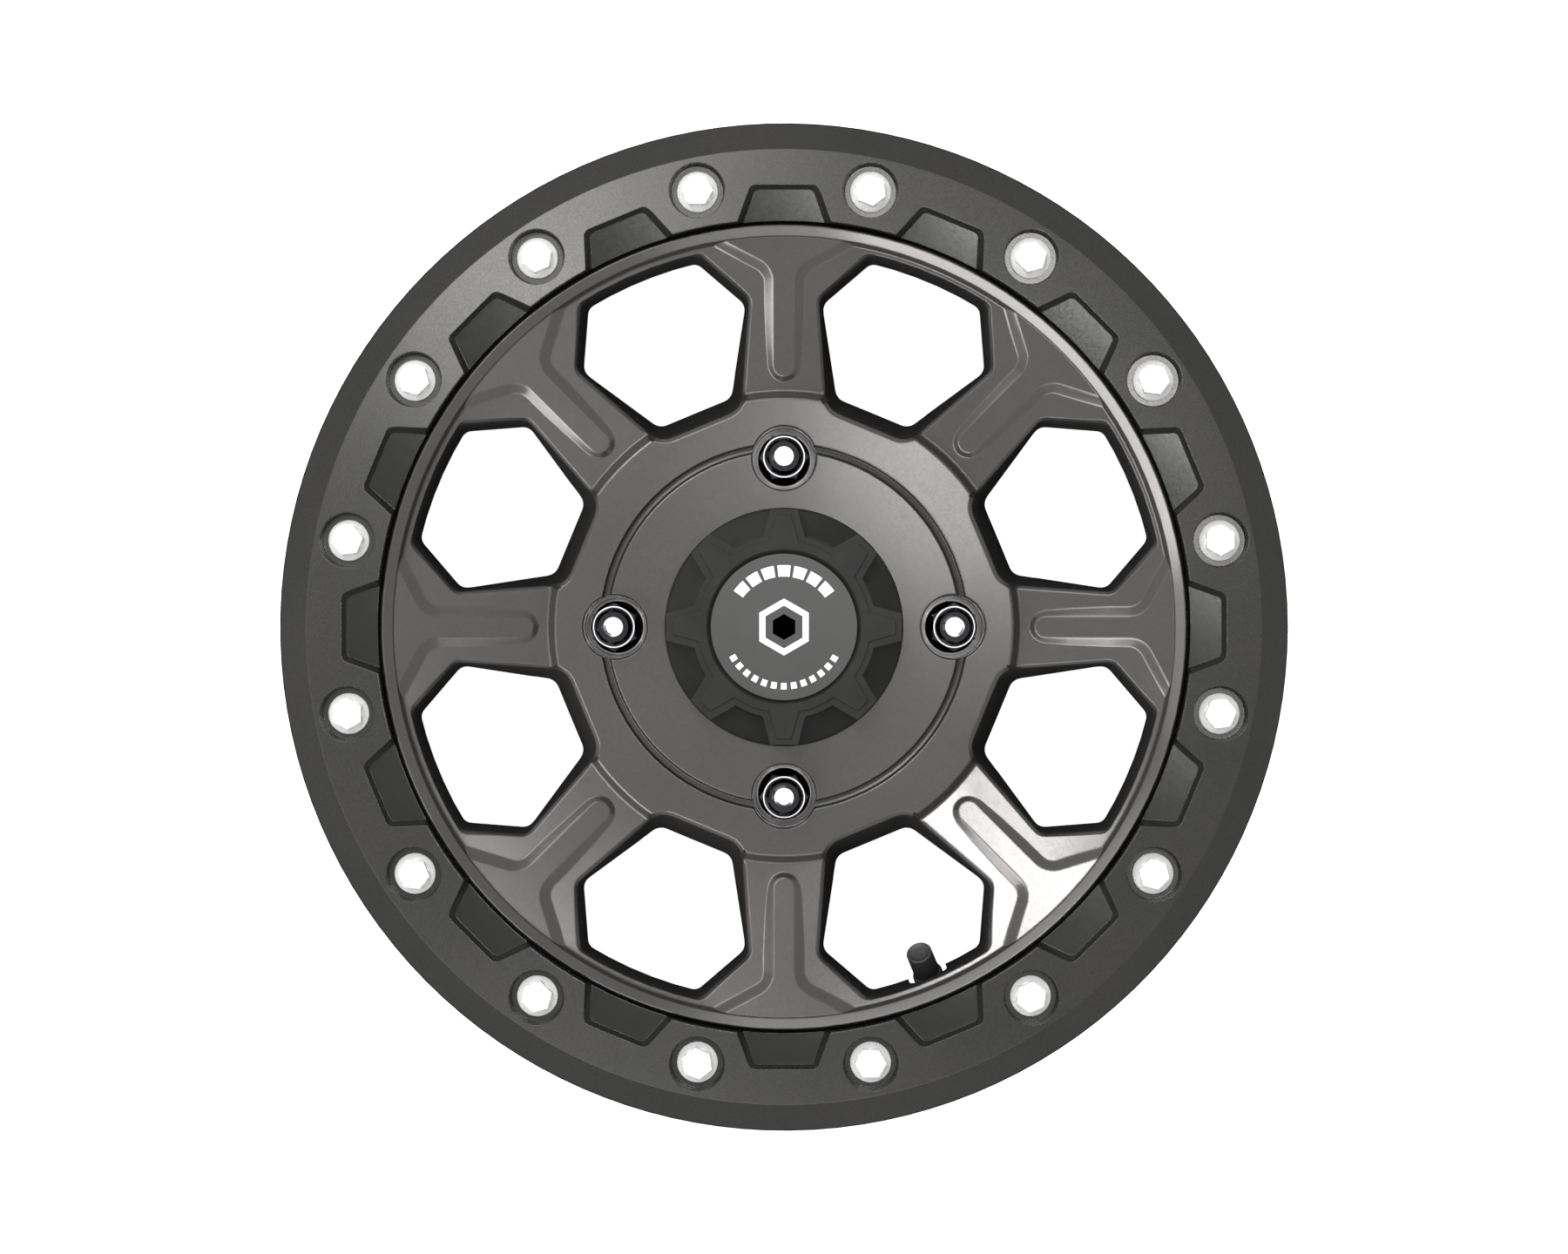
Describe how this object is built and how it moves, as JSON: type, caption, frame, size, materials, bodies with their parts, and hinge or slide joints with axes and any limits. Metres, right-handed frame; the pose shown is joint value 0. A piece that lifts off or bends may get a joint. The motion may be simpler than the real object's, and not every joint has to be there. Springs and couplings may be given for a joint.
{
  "type": "beadlock wheel",
  "caption": "Cast off-road wheel with eight spokes and a bolted bead clamp ring, lug nuts, hub cap and snap-in valve.",
  "frame": {"origin": "centre of the underside of the part's box, on the wheel's axis at the inboard flange's outer face", "axes": "+Z along the wheel's axis towards the outboard face, +Y through a lug hole and a spoke"},
  "size_m": [0.4059, 0.406, 0.2],
  "materials": {
    "painted_alloy": "satin graphite metallic paint on cast aluminium",
    "ring_paint": "satin graphite metallic paint on forged aluminium",
    "zinc_steel": "bright zinc-plated steel",
    "plain_steel": "plain steel",
    "black_chrome": "black chrome on steel",
    "black_plastic": "satin black moulded plastic",
    "valve_rubber": "black moulded rubber",
    "valve_brass": "turned brass"
  },
  "bodies": {
    "root": {"wheel": "painted_alloy", "beadlock_ring": "ring_paint", "ring_bolt_1": "zinc_steel", "ring_bolt_2": "zinc_steel", "ring_bolt_3": "zinc_steel", "ring_bolt_4": "zinc_steel", "ring_bolt_5": "zinc_steel", "ring_bolt_6": "zinc_steel", "ring_bolt_7": "zinc_steel", "ring_bolt_8": "zinc_steel", "ring_bolt_9": "zinc_steel", "ring_bolt_10": "zinc_steel", "ring_bolt_11": "zinc_steel", "ring_bolt_12": "zinc_steel", "ring_bolt_13": "zinc_steel", "ring_bolt_14": "zinc_steel", "ring_bolt_15": "zinc_steel", "ring_bolt_16": "zinc_steel", "thread_insert_1": "plain_steel", "thread_insert_2": "plain_steel", "thread_insert_3": "plain_steel", "thread_insert_4": "plain_steel", "thread_insert_5": "plain_steel", "thread_insert_6": "plain_steel", "thread_insert_7": "plain_steel", "thread_insert_8": "plain_steel", "thread_insert_9": "plain_steel", "thread_insert_10": "plain_steel", "thread_insert_11": "plain_steel", "thread_insert_12": "plain_steel", "thread_insert_13": "plain_steel", "thread_insert_14": "plain_steel", "thread_insert_15": "plain_steel", "thread_insert_16": "plain_steel", "lug_nut_1": "black_chrome", "lug_nut_2": "black_chrome", "lug_nut_3": "black_chrome", "lug_nut_4": "black_chrome", "hub_cap": "black_plastic", "cap_disc": "black_plastic", "cap_clip_ring": "plain_steel", "valve_body": "valve_rubber", "valve_stem": "valve_brass", "valve_core": "valve_brass", "valve_cap": "black_plastic"}
  },
  "joints": []
}
